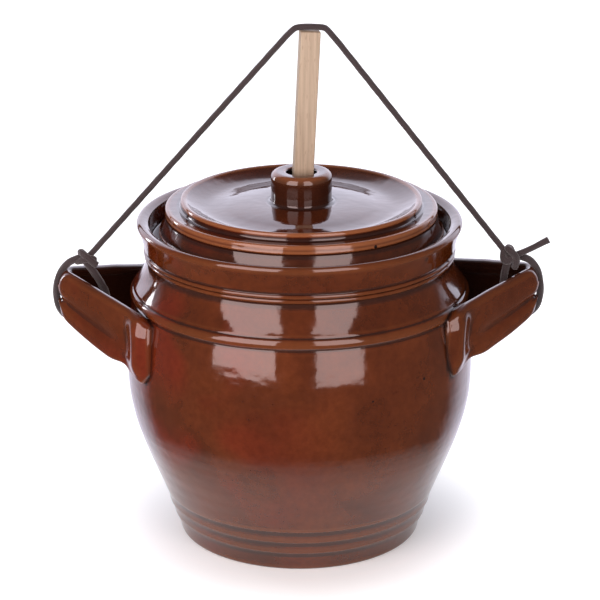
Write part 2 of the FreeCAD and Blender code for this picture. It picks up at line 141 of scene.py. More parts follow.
def woven_polyester():
    """Woven polyester sleeve: matt, dark plum-brown, with painted highlight on the crowns where a yarn rises
    and painted shade between them.
    """
    material = bpy.data.materials.new("woven_polyester")
    material.use_nodes = True
    tree = material.node_tree
    shader = tree.nodes["Principled BSDF"]
    shader.inputs["Roughness"].default_value = 0.72
    shader.inputs["Sheen Weight"].default_value = 0.35
    shader.inputs["Sheen Roughness"].default_value = 0.5
    chart = add(tree, "ShaderNodeUVMap", uv_map="along")
    split = add(tree, "ShaderNodeSeparateXYZ", {"Vector": chart.outputs["UV"]})
    along = add(tree, "ShaderNodeMath", {0: split.outputs["X"], 1: math.tau / (WEAVE_PITCH / MM)},
                operation="MULTIPLY")
    around = add(tree, "ShaderNodeMath", {0: split.outputs["Y"], 1: math.tau * YARNS_ROUND / 2},
                 operation="MULTIPLY")
    left_way = add(tree, "ShaderNodeMath", {0: along.outputs[0], 1: around.outputs[0]}, operation="ADD")
    right_way = add(tree, "ShaderNodeMath", {0: along.outputs[0], 1: around.outputs[0]},
                    operation="SUBTRACT")
    left_yarn = add(tree, "ShaderNodeMath", {0: left_way.outputs[0]}, operation="SINE")
    right_yarn = add(tree, "ShaderNodeMath", {0: right_way.outputs[0]}, operation="SINE")
    crossing = add(tree, "ShaderNodeMath", {0: left_yarn.outputs[0], 1: right_yarn.outputs[0]},
                   operation="MAXIMUM")
    height = add(tree, "ShaderNodeMapRange",
                 {"Value": crossing.outputs[0], "From Min": -0.6, "From Max": 1.0})
    place = add(tree, "ShaderNodeTexCoord")
    patches = add(tree, "ShaderNodeTexNoise",
                  {"Vector": place.outputs["Object"], "Scale": 160.0, "Detail": 2.0})
    blotch = add(tree, "ShaderNodeMapRange",
                 {"Value": patches.outputs["Fac"], "From Min": 0.3, "From Max": 0.7,
                  "To Min": 0.55, "To Max": 1.0})
    # Painted shade: darker in the valleys between the yarns and lighter on their crowns, scaled by random
    # patches of tone.
    painted_yarn_shade_and_tone = add(tree, "ShaderNodeMath", {0: height.outputs[0], 1: blotch.outputs[0]}, operation="MULTIPLY")
    colour = add(tree, "ShaderNodeMix",
                 {"Factor": painted_yarn_shade_and_tone.outputs[0], "A": linear("#171012"), "B": linear("#2d2225")},
                 data_type="RGBA")
    ridge = add(tree, "ShaderNodeBump", {"Height": height.outputs[0], "Strength": 0.7, "Distance": 0.25 * MM})
    tree.links.new(colour.outputs["Result"], shader.inputs["Base Color"])
    tree.links.new(ridge.outputs["Normal"], shader.inputs["Normal"])
    return material


cord_material = woven_polyester()
print("made", cord_material.name)


# %% Read a smooth line from a route
def smooth_line(name, route, steps=14):
    """The points of the NURBS spline that has the route, in millimetres, as its control points."""
    data = bpy.data.curves.new(name + "_route", "CURVE")
    data.dimensions = "3D"
    data.resolution_u = steps
    spline = data.splines.new("NURBS")
    spline.points.add(len(route) - 1)
    for point, spot in zip(spline.points, route):
        point.co = (spot[0] * MM, spot[1] * MM, spot[2] * MM, 1.0)
    spline.order_u = 3
    spline.use_endpoint_u = True
    holder = bpy.data.objects.new(name + "_route", data)
    scene.collection.objects.link(holder)
    line = bpy.data.meshes.new_from_object(holder.evaluated_get(bpy.context.evaluated_depsgraph_get()))
    spots = [vertex.co.copy() for vertex in line.vertices]
    bpy.data.objects.remove(holder)
    bpy.data.meshes.remove(line)
    return spots


def spaced(spots, step):
    """The same line with its points an even step apart."""
    lengths = [0.0]
    for a, b in zip(spots, spots[1:]):
        lengths.append(lengths[-1] + (b - a).length)
    count = max(2, round(lengths[-1] / step))
    even, here = [], 0
    for number in range(count + 1):
        want = lengths[-1] * number / count
        while here < len(spots) - 2 and lengths[here + 1] < want:
            here += 1
        span = lengths[here + 1] - lengths[here]
        share = (want - lengths[here]) / span if span else 0
        even.append(spots[here].lerp(spots[here + 1], min(1.0, share)))
    return even


# %% Sweep the woven sleeve along a line
SLEEVE_SIDES = 24
SLEEVE_STEP = 0.7 * MM
RIBS = 5
RIB_HEIGHT = 0.035      # share of the radius
RIB_TURN = 14 * MM      # length in which the ribs turn once about the cord


def swept(name, line, radius=CORD_RADIUS, flare=None):
    """A mesh tube round a line. Each ring is extruded and carried on to the next point."""
    bm = bmesh.new()
    chart = bm.loops.layers.uv.new("along")
    way = (line[1] - line[0]).normalized()
    side = way.orthogonal().normalized()
    ring = bmesh.ops.create_circle(bm, segments=SLEEVE_SIDES, radius=1.0, cap_ends=False)["verts"]
    unit = [vertex.co.copy() for vertex in ring]
    edges = list(bm.edges)
    travelled = 0.0
    rings = []
    for number, spot in enumerate(line):
        if number:
            grown = bmesh.ops.extrude_edge_only(bm, edges=edges)["geom"]
            fresh = [item for item in grown if isinstance(item, bmesh.types.BMVert)]
            ring = ordered_like(ring, fresh)
            edges = [bm.edges.get((a, b)) for a, b in zip(ring, ring[1:] + ring[:1])]
            travelled += (spot - line[number - 1]).length
        ahead = line[min(number + 1, len(line) - 1)] - line[max(number - 1, 0)]
        way = ahead.normalized()
        side = (side - way * side.dot(way)).normalized()
        across = way.cross(side)
        wide = flare(travelled) if flare else 1.0
        for vertex, corner in zip(ring, unit):
            angle = math.atan2(corner.y, corner.x)
            rib = 1 + RIB_HEIGHT * math.cos(RIBS * angle + math.tau * travelled / RIB_TURN)
            vertex.co = spot + (side * corner.x + across * corner.y) * radius * rib * wide
        rings.append((travelled, list(ring)))
    for (start, low), (end, high) in zip(rings, rings[1:]):
        for k in range(SLEEVE_SIDES):
            corners = (low[k], low[(k + 1) % SLEEVE_SIDES],
                       high[(k + 1) % SLEEVE_SIDES], high[k])
            face = bm.faces.get(corners)
            for loop in face.loops:
                far = loop.vert in (high[k], high[(k + 1) % SLEEVE_SIDES])
                turn = k + (loop.vert in (low[(k + 1) % SLEEVE_SIDES], high[(k + 1) % SLEEVE_SIDES]))
                loop[chart].uv = ((end if far else start) / MM, turn / SLEEVE_SIDES)
    for ends in (rings[0][1], rings[-1][1]):
        bm.faces.new(ends)
    bmesh.ops.recalc_face_normals(bm, faces=bm.faces)
    mesh = bpy.data.meshes.new(name)
    bm.to_mesh(mesh)
    bm.free()
    return mesh


def ordered_like(ring, fresh):
    """The new vertices in the order of the ring that they were extruded from."""
    grown = set(fresh)
    return [next(edge.other_vert(vertex) for edge in vertex.link_edges
                 if edge.other_vert(vertex) in grown) for vertex in ring]


# %% Lay the cord over the stick
LEFT_KNOT = (-139.5, -1.0, 186.8)
RIGHT_KNOT = (136.6, -1.0, 189.2)
STICK_HALF_TOP = 7.1
STICK_TOP_X = 6.7
OVER = 341.8
LEFT_EDGE = STICK_TOP_X - STICK_HALF_TOP
RIGHT_EDGE = STICK_TOP_X + STICK_HALF_TOP
SPAN_ROUTE = [LEFT_KNOT,
              (LEFT_EDGE - 20.0, -0.1, OVER - 19.6),
              (LEFT_EDGE - 4.2, 0, OVER - 1.7),
              (LEFT_EDGE - 0.4, 0, OVER),
              (RIGHT_EDGE + 0.4, 0, OVER),
              (RIGHT_EDGE + 4.2, 0, OVER - 1.8),
              (RIGHT_EDGE + 19.0, -0.1, OVER - 20.4),
              RIGHT_KNOT]

span_line = spaced(smooth_line("span", SPAN_ROUTE, 40), SLEEVE_STEP)
cord_span = show("elastic_cord", swept("elastic_cord", span_line), cord_material,
                 ["cord_span"])

# %% The loops round the handles, and the free end
LOOP_RADIUS = 2.4 * MM
TIE_RADIUS = 2.35 * MM
LEFT_LOOP = [(-142.5, -3.0, 188.0), (-138.0, -3.6, 183.5), (-131.5, -2.5, 172.5), (-126.6, -0.5, 162.0),
             (-128.0, 2.5, 150.5), (-136.0, 5.5, 143.0), (-146.0, 7.0, 141.0), (-154.0, 6.5, 143.4),
             (-159.8, 4.0, 151.5), (-160.7, 2.2, 163.0), (-159.2, 1.6, 172.5),
             (-154.6, 0.8, 181.0), (-148.3, -1.0, 186.6), (-141.0, -2.0, 188.4)]
RIGHT_LOOP = [(137.6, -4.5, 190.2), (134.6, -4.0, 181.0), (134.0, -2.5, 172.0), (133.8, -0.5, 162.0),
              (135.6, 3.0, 151.0), (143.0, 6.0, 144.8), (151.6, 6.5, 145.4), (157.6, 4.5, 152.5),
              (159.2, 2.5, 163.0), (158.0, 2.0, 174.0), (154.4, 1.0, 182.8),
              (147.5, 0.0, 188.0), (140.2, 0.0, 189.0)]
TAIL_ROUTE = [(139.0, -2.0, 189.0), (145.0, -3.0, 191.4), (151.0, -3.5, 194.4), (162.5, -4.5, 201.0)]
TAIL_FLARE = 0.16       # share by which the tail has widened after FLARE_LENGTH
FLARE_START = 18        # millimetres along the tail
FLARE_LENGTH = 9


def tail_width(travelled):
    """The cut end frays a little, so the tail widens towards it."""
    return 1 + TAIL_FLARE * max(0.0, (travelled / MM - FLARE_START) / FLARE_LENGTH)


def short_length(name, node, route, radius=CORD_RADIUS, flare=None):
    """Sweeps one short length of the cord along its route and shows it."""
    line = spaced(smooth_line(name, route), SLEEVE_STEP)
    return show(name, swept(name, line, radius, flare), cord_material, [node])


loop_left = short_length("loop_left", "handle_loop_left", LEFT_LOOP, LOOP_RADIUS)
loop_right = short_length("loop_right", "handle_loop_right", RIGHT_LOOP, LOOP_RADIUS)
tail = short_length("free_end", "cord_tail", TAIL_ROUTE, flare=tail_width)

# %% [markdown]
# ## The knots
#
# Each knot is a turn of the same cord pulled tight round the standing part, so it is modelled as
# that: one more length of sleeve laid in a small coil, not as a ball.

# %% Tie the knots
LEFT_TIE = [(-133.0, -4.6, 183.6), (-136.2, -5.6, 186.8), (-140.4, -5.4, 190.6), (-143.4, -2.2, 192.2),
            (-143.0, 1.6, 189.4), (-139.5, 2.6, 186.0), (-135.6, 1.0, 184.4), (-134.6, -3.0, 187.4),
            (-138.0, -5.4, 188.0), (-142.6, -4.0, 186.6), (-146.0, -1.0, 185.0)]
RIGHT_TIE = [(134.0, -1.0, 192.0), (132.8, -4.4, 189.4), (134.2, -6.0, 186.6), (137.4, -5.6, 186.8),
             (139.6, -3.0, 190.4), (137.8, 0.6, 194.2), (135.8, -3.2, 194.8), (138.2, -6.0, 193.6),
             (141.4, -6.2, 190.0), (142.0, -5.2, 185.0), (141.0, -3.0, 181.6)]
knot_left = short_length("tie_left", "knot_left", LEFT_TIE, TIE_RADIUS)
knot_right = short_length("tie_right", "knot_right", RIGHT_TIE, TIE_RADIUS)


# %% [markdown]
# ## Throwing round pieces
#
# A potter's wheel makes a pot by turning, and a spin does the same: half the pot's section is
# drawn as a chain of edges, and the chain is spun once round the axis. The section is laid from
# straight lines, arcs and a few curves, with small steps so that the glaze's shine stays smooth.

# %% Draw half a section
class Section:
    """Half the section of a thrown piece: spots of radius and height, in millimetres."""

    def __init__(self, radius, height, step=1.6):
        self.spots = [(radius, height)]
        self.step = step

    def line(self, radius, height):
        """A straight line on to the given spot."""
        before = self.spots[-1]
        length = math.dist(before, (radius, height))
        count = max(1, round(length / self.step))
        self.spots += [(before[0] + (radius - before[0]) * k / count,
                        before[1] + (height - before[1]) * k / count) for k in range(1, count + 1)]

    def bulge(self, radius, height, rise, count=None):
        """An arc that stands out by rise to the right of the straight line."""
        before = Vector(self.spots[-1])
        after = Vector((radius, height))
        chord = after - before
        half = chord.length / 2
        size = (half * half + rise * rise) / (2 * abs(rise))
        sweep = 2 * math.atan2(abs(rise), half) * 2
        right = Vector((chord.y, -chord.x)).normalized() * math.copysign(1, rise)
        centre = (before + after) / 2 + right * (abs(rise) - size)
        count = count or max(4, round(size * sweep / self.step), round(sweep / 0.3))
        start = before - centre
        turn = -sweep if rise < 0 else sweep
        for k in range(1, count + 1):
            angle = turn * k / count
            spun = Vector((start.x * math.cos(angle) - start.y * math.sin(angle),
                           start.x * math.sin(angle) + start.y * math.cos(angle)))
            self.spots.append(tuple(centre + spun))

    def curve(self, spots):
        """A smooth curve on through the given spots."""
        knots = [self.spots[-1]] + list(spots)
        ends = [knots[0]] + knots + [knots[-1]]
        for number in range(1, len(ends) - 2):
            a, b, c, d = (Vector(ends[number + k]) for k in (-1, 0, 1, 2))
            count = max(2, round((c - b).length / self.step))
            for k in range(1, count + 1):
                t = k / count
                spot = 0.5 * (2 * b + (c - a) * t + (2 * a - 5 * b + 4 * c - d) * t ** 2
                              + (3 * b - a - 3 * c + d) * t ** 3)
                self.spots.append(tuple(spot))


def thrown(name, section, steps, closed=False):
    """Spins a section once about the axis and returns the bmesh."""
    bm = bmesh.new()
    chain = [bm.verts.new((radius * MM, 0, height * MM)) for radius, height in section.spots]
    pairs = zip(chain, chain[1:] + chain[:1]) if closed else zip(chain, chain[1:])
    edges = [bm.edges.new(pair) for pair in pairs]
    bmesh.ops.spin(bm, geom=chain + edges, cent=(0, 0, 0), axis=UP, dvec=(0, 0, 0),
                   angle=math.tau, steps=steps, use_merge=True)
    bmesh.ops.remove_doubles(bm, verts=bm.verts, dist=0.01 * MM)
    bmesh.ops.recalc_face_normals(bm, faces=bm.faces)
    print(name, "spun from", len(section.spots), "spots")
    return bm


# %% [markdown]
# ## Where the glaze runs thin and where it pools
#
# A melted glaze draws back from sharp edges, which turn rust and gold, and gathers in corners,
# which turn nearly black. That can be read from the shape itself: at each vertex, the bend of the
# surface along each of its edges says whether it is a ridge or a hollow. The result goes into a
# named attribute, which the material reads.

# %% Measure ridges and hollows
BEND_FULL = 0.16       # bend, per millimetre, at which an edge counts as fully sharp


def mark_bend(mesh, soften=3):
    """Writes the attribute bend: 1 on ridges, 0 in hollows and one half on even surfaces."""
    count = len(mesh.vertices)
    places = np.empty(count * 3)
    mesh.vertices.foreach_get("co", places)
    places = places.reshape(-1, 3) / MM
    normals = np.empty(count * 3)
    mesh.vertices.foreach_get("normal", normals)
    normals = normals.reshape(-1, 3)
    ends = np.empty(len(mesh.edges) * 2, dtype=np.int64)
    mesh.edges.foreach_get("vertices", ends)
    ends = ends.reshape(-1, 2)
    both = np.concatenate([ends, ends[:, ::-1]])
    step = places[both[:, 1]] - places[both[:, 0]]
    square = np.maximum((step ** 2).sum(1), 1e-4)
    bends = -2 * (step * normals[both[:, 0]]).sum(1) / square
    near = 1 / np.sqrt(square)
    total = np.bincount(both[:, 0], weights=near, minlength=count)
    total = np.maximum(total, 1e-9)
    bend = np.bincount(both[:, 0], weights=bends * near, minlength=count) / total
    for _ in range(soften):
        spread = np.bincount(both[:, 0], weights=bend[both[:, 1]] * near, minlength=count) / total
        bend = (bend + spread) / 2
    level = np.clip(0.5 + 0.5 * bend / BEND_FULL, 0, 1)
    layer = mesh.attributes.new("bend", "FLOAT", "POINT")
    layer.data.foreach_set("value", level)


def mark_pool_and_painted_shade(mesh, darkening):
    """Writes the attribute pool_and_painted_shade: 1 where glaze has gathered and where shade is painted,
    from a darkening for each vertex.
    """
    layer = mesh.attributes.new("pool_and_painted_shade", "FLOAT", "POINT")
    layer.data.foreach_set("value", darkening)


# %% [markdown]
# ## Iron-brown glazed stoneware
#
# Dark stoneware clay under a honey-brown iron glaze, fired until it runs. The glaze is glass, so it
# has glass's IOR and hardly any roughness. What the eye reads as real is the slow change of colour
# from fox-red to tobacco, rust on every edge, black in every corner, a few pinholes, and shine
# that wobbles a little, because the surface under it was made by hand.

# %% The glaze
GLAZE_IOR = 1.62
CLOUD = 38 * MM         # width of the slow changes of colour
MOTTLE = 5 * MM
PEEL = 9 * MM           # width of the soft waves in the glaze's surface
PINHOLE_SPACING = 16 * MM


def iron_glaze(name, dark, warm, red, edge, edge_share):
    """A glossy iron glaze between two browns, redder on the side that faced the fire."""
    material = bpy.data.materials.new(name)
    material.use_nodes = True
    tree = material.node_tree
    shader = tree.nodes["Principled BSDF"]
    shader.inputs["IOR"].default_value = GLAZE_IOR
    place = add(tree, "ShaderNodeTexCoord").outputs["Object"]
    cloud = add(tree, "ShaderNodeTexNoise",
                {"Vector": place, "Scale": 1 / CLOUD, "Detail": 3.0, "Roughness": 0.55})
    cloudy = add(tree, "ShaderNodeMapRange",
                 {"Value": cloud.outputs["Fac"], "From Min": 0.36, "From Max": 0.64})
    base = add(tree, "ShaderNodeMix",
               {"Factor": cloudy.outputs[0], "A": linear(dark), "B": linear(warm)}, data_type="RGBA")
    moved = add(tree, "ShaderNodeMapping", {"Vector": place, "Location": (0.31, 0.12, 0.07)})
    ember = add(tree, "ShaderNodeTexNoise",
                {"Vector": moved.outputs[0], "Scale": 0.8 / CLOUD, "Detail": 1.0})
    fire_side = add(tree, "ShaderNodeSeparateXYZ", {"Vector": place})
    facing = add(tree, "ShaderNodeMapRange",
                 {"Value": fire_side.outputs["X"], "From Min": 0.03, "From Max": -0.07,
                  "To Min": 0.0, "To Max": 0.75})
    ember_patch = add(tree, "ShaderNodeMapRange",
                      {"Value": ember.outputs["Fac"], "From Min": 0.44, "From Max": 0.60})
    hot = add(tree, "ShaderNodeMath", {0: ember_patch.outputs[0], 1: facing.outputs[0]}, operation="MULTIPLY")
    base = add(tree, "ShaderNodeMix",
               {"Factor": hot.outputs[0], "A": base.outputs["Result"], "B": linear(red)}, data_type="RGBA")
    mottle = add(tree, "ShaderNodeTexNoise",
                 {"Vector": place, "Scale": 1 / MOTTLE, "Detail": 4.0, "Roughness": 0.65})
    shade = add(tree, "ShaderNodeMapRange",
                {"Value": mottle.outputs["Fac"], "From Min": 0.3, "From Max": 0.7,
                 "To Min": 0.82, "To Max": 1.14})
    base = add(tree, "ShaderNodeVectorMath",
               {0: base.outputs["Result"], "Scale": shade.outputs[0]}, operation="SCALE")
    bend = add(tree, "ShaderNodeAttribute", attribute_name="bend").outputs["Fac"]
    thin = add(tree, "ShaderNodeMapRange",
               {"Value": bend, "From Min": 0.6, "From Max": 0.95, "To Max": edge_share})
    base = add(tree, "ShaderNodeMix",
               {"Factor": thin.outputs[0], "A": base.outputs[0], "B": linear(edge)}, data_type="RGBA")
    hollow = add(tree, "ShaderNodeMapRange",
                 {"Value": bend, "From Min": 0.40, "From Max": 0.10, "To Max": 0.7})
    # Pooled glaze and painted shade: this attribute also darkens the handles' inner faces, the knob's side
    # and its bore as shade.
    pool_and_painted_shade = add(tree, "ShaderNodeAttribute", attribute_name="pool_and_painted_shade").outputs["Fac"]
    pooled_and_shaded = add(tree, "ShaderNodeMath", {0: hollow.outputs[0], 1: pool_and_painted_shade}, operation="MAXIMUM")
    base = add(tree, "ShaderNodeMix",
               {"Factor": pooled_and_shaded.outputs[0], "A": base.outputs["Result"], "B": linear("#1b100e")},
               data_type="RGBA")
    cells = add(tree, "ShaderNodeTexVoronoi", {"Vector": place, "Scale": 1 / PINHOLE_SPACING})
    chance = add(tree, "ShaderNodeSeparateColor", {"Color": cells.outputs["Color"]})
    size = add(tree, "ShaderNodeMapRange",
               {"Value": chance.outputs[0], "From Min": 0.72, "From Max": 1.0,
                "To Min": 0.0, "To Max": 0.085})
    hole = add(tree, "ShaderNodeMath", {0: cells.outputs["Distance"], 1: size.outputs[0]},
               operation="LESS_THAN")
    base = add(tree, "ShaderNodeMix",
               {"Factor": hole.outputs[0], "A": base.outputs["Result"], "B": linear("#140b0a")},
               data_type="RGBA")
    rough = add(tree, "ShaderNodeMapRange",
                {"Value": mottle.outputs["Fac"], "From Min": 0.3, "From Max": 0.7,
                 "To Min": 0.05, "To Max": 0.12})
    peel = add(tree, "ShaderNodeTexNoise", {"Vector": place, "Scale": 1 / PEEL, "Detail": 1.5})
    wave = add(tree, "ShaderNodeBump",
               {"Height": peel.outputs["Fac"], "Strength": 1.0, "Distance": 0.16 * MM})
    grain = add(tree, "ShaderNodeBump",
                {"Height": mottle.outputs["Fac"], "Strength": 1.0, "Distance": 0.012 * MM,
                 "Normal": wave.outputs["Normal"]})
    tree.links.new(base.outputs["Result"], shader.inputs["Base Color"])
    tree.links.new(rough.outputs[0], shader.inputs["Roughness"])
    tree.links.new(grain.outputs["Normal"], shader.inputs["Normal"])
    return material


pot_glaze = iron_glaze("iron_glazed_stoneware", "#3f1b08", "#4e240d", "#581c0b", "#5e351a", 0.45)
lid_glaze = iron_glaze("iron_glazed_stoneware_lid", "#3f1c0c", "#4c2611", "#4e1a0c", "#805030", 0.8)
print("made", pot_glaze.name, "and", lid_glaze.name)

# %% [markdown]
# ## The pot
#
# The foot has three slightly hollow bands, the belly swings out from it, a low ridge marks the
# shoulder, two small beads sit under the rim, and the rim's band flares to a rounded lip whose top
# falls inwards. Inside, a ledge below the mouth carries the lid.

# %% The pot's sizes
CROCK_HEIGHT = 215.3
BODY_RADIUS = 113.8
FOOT_RADIUS = 80.5
NECK_RADIUS = 100.0
RIM_RADIUS = 106.2
WALL = 7.5
FLOOR = 9.0
FOOT_ROUND = 1.6
FOOT_BANDS = ((13.0, 3.6), (8.8, 2.4), (8.6, 2.0))      # height and flare of each, from the ground
FOOT_STEP = 0.7
BELLY_HEIGHT = 112.0
BELLY_SLACK = 1.06     # over 1, the lower belly hangs a little inside a sine's curve
BELLY_SPOTS = 8
RIDGE_SET_IN = 3.6
RIDGE_RADIUS = BODY_RADIUS - RIDGE_SET_IN
RIDGE_TOP = 170.0
RIDGE_FOOT = 163.0
NECK_HEIGHT = 190.3
SHOULDER_SWEEP = 1.85  # over 1, the shoulder draws in early and comes up steeply to the neck
SHOULDER_SPOTS = 6
MOUTH_RADIUS = 98.7
SEAT_HEIGHT = 201.1
SEAT_WIDTH = 8.6


def pot_section():
    """From the middle of the underside, up the outside, over the rim and down inside to the floor."""
    section = Section(0, 0, 4.0)
    section.line(FOOT_RADIUS - FOOT_ROUND, 0)
    section.step = 1.6
    section.bulge(FOOT_RADIUS, FOOT_ROUND, 0.3)
    radius, height = FOOT_RADIUS, 0.0
    for rise, flare in FOOT_BANDS:
        height += rise
        radius += flare
        section.bulge(radius, height - 0.3, -0.3)
        section.bulge(radius + FOOT_STEP, height + 0.25, -0.12, 4)
        radius += FOOT_STEP
    section.curve([(radius + (BODY_RADIUS - radius)
                    * math.sin(math.pi / 2 * (k / BELLY_SPOTS) ** BELLY_SLACK),
                    height + (BELLY_HEIGHT - height) * k / BELLY_SPOTS)
                   for k in range(1, BELLY_SPOTS + 1)])
    section.bulge(RIDGE_RADIUS + 0.1, RIDGE_FOOT - 1.2, 1.1)
    section.bulge(RIDGE_RADIUS - 0.2, RIDGE_FOOT, -0.12, 3)
    section.bulge(RIDGE_RADIUS - 0.7, RIDGE_TOP, 1.7, 10)
    section.bulge(RIDGE_RADIUS - 1.3, RIDGE_TOP + 1.0, -0.15, 3)
    crown = RIDGE_RADIUS - 1.3
    section.curve([(NECK_RADIUS + (crown - NECK_RADIUS) * (1 - k / SHOULDER_SPOTS) ** SHOULDER_SWEEP,
                    RIDGE_TOP + 1.0 + (NECK_HEIGHT - RIDGE_TOP - 1.0) * k / SHOULDER_SPOTS)
                   for k in range(1, SHOULDER_SPOTS + 1)])
    section.bulge(NECK_RADIUS + 0.4, NECK_HEIGHT + 3.0, 1.5, 8)
    section.bulge(NECK_RADIUS + 0.8, NECK_HEIGHT + 6.0, 1.5, 8)
    section.line(NECK_RADIUS + 1.7, NECK_HEIGHT + 6.6)
    section.bulge(RIM_RADIUS - 0.1, CROCK_HEIGHT - 3.3, -0.7)
    section.bulge(RIM_RADIUS - 2.8, CROCK_HEIGHT, 1.15, 8)
    section.bulge(MOUTH_RADIUS + 0.6, CROCK_HEIGHT - 1.7, 0.3, 5)
    section.bulge(MOUTH_RADIUS, CROCK_HEIGHT - 2.6, 0.25, 4)
    section.line(MOUTH_RADIUS - 1.4, SEAT_HEIGHT + 1.5)
    section.bulge(MOUTH_RADIUS - 2.9, SEAT_HEIGHT, -0.5, 4)
    ledge = MOUTH_RADIUS - SEAT_WIDTH
    section.line(ledge + 1, SEAT_HEIGHT)
    section.bulge(ledge, SEAT_HEIGHT - 1, 0.3, 3)
    section.step = 3.5
    section.line(ledge, NECK_HEIGHT - 2)
    inside = BODY_RADIUS - WALL
    under_ridge = RIDGE_RADIUS - WALL
    section.curve([((ledge + under_ridge) / 2 + 2, (NECK_HEIGHT - 2 + RIDGE_FOOT) / 2),
                   (under_ridge, RIDGE_FOOT)])
    section.bulge(inside, BELLY_HEIGHT, -1.1)
    foot_inside = FOOT_RADIUS - WALL + 5
    section.curve([(foot_inside + (inside - foot_inside) * math.cos(math.pi / 2 * k / 7),
                    BELLY_HEIGHT + (FLOOR + 12 - BELLY_HEIGHT) * k / 7) for k in range(1, 8)])
    section.bulge(foot_inside - 12, FLOOR, 3.2)
    section.step = 6.0
    section.line(0, FLOOR)
    return section


pot = thrown("crock_pot", pot_section(), 216)

# %% Give the pot a hand-thrown wobble
WOBBLE = 0.28          # millimetres
THROWING_RINGS = 0.07
WOBBLE_WIDTH = 46 * MM
RING_SPACING = 3.4     # millimetres


def hand_made(bm, seed, wobble=WOBBLE, rings=THROWING_RINGS, above=2.0):
    """Moves each vertex in or out a little: slow waves all round, and faint rings up the wall."""
    for vertex in bm.verts:
        height = vertex.co.z / MM
        flat = Vector((vertex.co.x, vertex.co.y, 0))
        if height < above or flat.length < MM:
            continue
        place = Vector((vertex.co.x, vertex.co.y, vertex.co.z * 1.6)) / WOBBLE_WIDTH
        slow = noise.noise(place + Vector((seed, 0, 0)))
        ring = noise.noise(Vector((flat.normalized().x * 0.4, seed, height / RING_SPACING)))
        vertex.co += flat.normalized() * (wobble * slow + rings * ring) * MM


hand_made(pot, 3.7)


# %% [markdown]
# ## The strap handles
#
# Each handle was pulled as a strap of clay with a thumb groove along it, bent in plan to a tight
# nose, and pressed on to the wall, where each end swells to an upright pad with a thumb's dent
# beside it. It could be a bevelled box, but the swelling, the dent and the groove all change along
# the strap. So the strap's section is a ring of edges, and the ring is carried along the bend and
# reshaped at each stop, with faces bridged between each ring and the next.

# %% The handle's sizes
HANDLE_REACH = 158.0
ROOT_Y = 56.0
HALF_ANGLE = math.radians(42.6)
NOSE_RADIUS = 8.5
STRAP = 7.8
ROOT_HEIGHT = 45.0
NOSE_HEIGHT = 33.6
ROOT_Z = 142.0
RISE = 21.3
SAG = 2.0
LIFT = {"left": 0.0, "right": 5.0}
DROOP = {"left": 0.0, "right": 2.5}
SHIFT = {"left": 0.0, "right": -2.4}
SINK = 5.0             # how far the strap's end runs into the wall
EDGE_ROUND = 3.4
NOSE_X = HANDLE_REACH - STRAP / 2
BEND_CENTRE = Vector((NOSE_X - NOSE_RADIUS, 0))
ALONG = Vector((math.cos(HALF_ANGLE), math.sin(HALF_ANGLE)))
OUTWARD = Vector((math.sin(HALF_ANGLE), -math.cos(HALF_ANGLE)))
BEND_START = BEND_CENTRE + OUTWARD * NOSE_RADIUS
ARM = (ROOT_Y + BEND_START.y) / math.sin(HALF_ANGLE)
ROOT = BEND_START - ALONG * ARM


def edge_height(x, side):
    """Height of the strap's top (1), middle (0) or bottom (-1) at a distance from the axis."""
    share = (x - ROOT.x) / (NOSE_X - ROOT.x)
    tall = ROOT_HEIGHT + (NOSE_HEIGHT - ROOT_HEIGHT) * share
    bow = 4 * max(0.0, share) * max(0.0, 1 - share) * (SAG / 4 if side > 0 else -SAG)
    return ROOT_Z + RISE * share + side * tall / 2 + (bow if side else 0)


def bell(value, centre, width):
    """A smooth bump: 1 at the centre, and hardly anything two widths away."""
    return math.exp(-((value - centre) / width) ** 2)


def ease(value, low, high):
    """0 up to low and 1 from high on, with a smooth change between."""
    t = min(1.0, max(0.0, (value - low) / (high - low)))
    return t * t * (3 - 2 * t)


# %% One ring of the strap
FACE_SPOTS = 23        # spots across the outer face, from top to bottom
BACK_SPOTS = 9
EDGE_SPOTS = 7


def face_relief(share, travelled):
    """How far the outer face stands out, from its height share (0 top, 1 bottom) and place."""
    plain = ease(travelled, 16, 38)
    groove = -1.6 * bell(share, 0.61, 0.10)
    bands = 1.0 * bell(share, 0.28, 0.25) + 1.0 * bell(share, 0.86, 0.15)
    pad = 5.2 * bell(travelled, 4.0, 8.0) * ease(share, -0.3, 0.2) * ease(1 - share, -0.2, 0.25)
    dent = -1.8 * bell(travelled, 17.5, 4.5) * bell(share, 0.44, 0.26)
    low_dent = -1.3 * bell(travelled, 20.0, 4.5) * bell(share, 0.90, 0.14)
    return plain * (groove + bands) + pad + dent + low_dent


def strap_ring(travelled, spot, out):
    """The ring's spots in millimetres, round the strap's section at one place along it."""
    half = STRAP / 2
    x = spot.x
    top = edge_height(x, 1) - 0.5 - 2.5 * ease(3 - travelled, 0, 8)
    low = edge_height(x, -1) + 3.2 * bell(travelled, 21, 9) + 9 * ease(2 - travelled, 0, 8)
    edge = EDGE_ROUND
    ring = []
    for k in range(FACE_SPOTS):
        share = k / (FACE_SPOTS - 1)
        height = top - edge + (low - top + 2 * edge) * share
        off = half + face_relief(share, travelled)
        ring.append((off, height))
    for k in range(1, EDGE_SPOTS + 1):
        angle = math.pi * k / (EDGE_SPOTS + 1)
        lean = ring[FACE_SPOTS - 1][0]
        ring.append(((lean - half) / 2 + (lean + half) / 2 * math.cos(angle),
                     low + edge - edge * math.sin(angle)))
    for k in range(BACK_SPOTS):
        share = k / (BACK_SPOTS - 1)
        ring.append((-half - 0.5 * bell(share, 0.5, 0.4), low + edge + (top - low - 2 * edge) * share))
    for k in range(1, EDGE_SPOTS + 1):
        angle = math.pi * k / (EDGE_SPOTS + 1)
        lean = ring[0][0]
        ring.append(((lean - half) / 2 - (lean + half) / 2 * math.cos(angle),
                     top - edge + edge * math.sin(angle)))
    return [(spot.x + out.x * off, spot.y + out.y * off, height) for off, height in ring]


# %% Carry the ring along the bend
ARM_STOPS = 56
NOSE_STOPS = 22
TOP_CORNER = 9.0
LOW_CORNER = 6.5


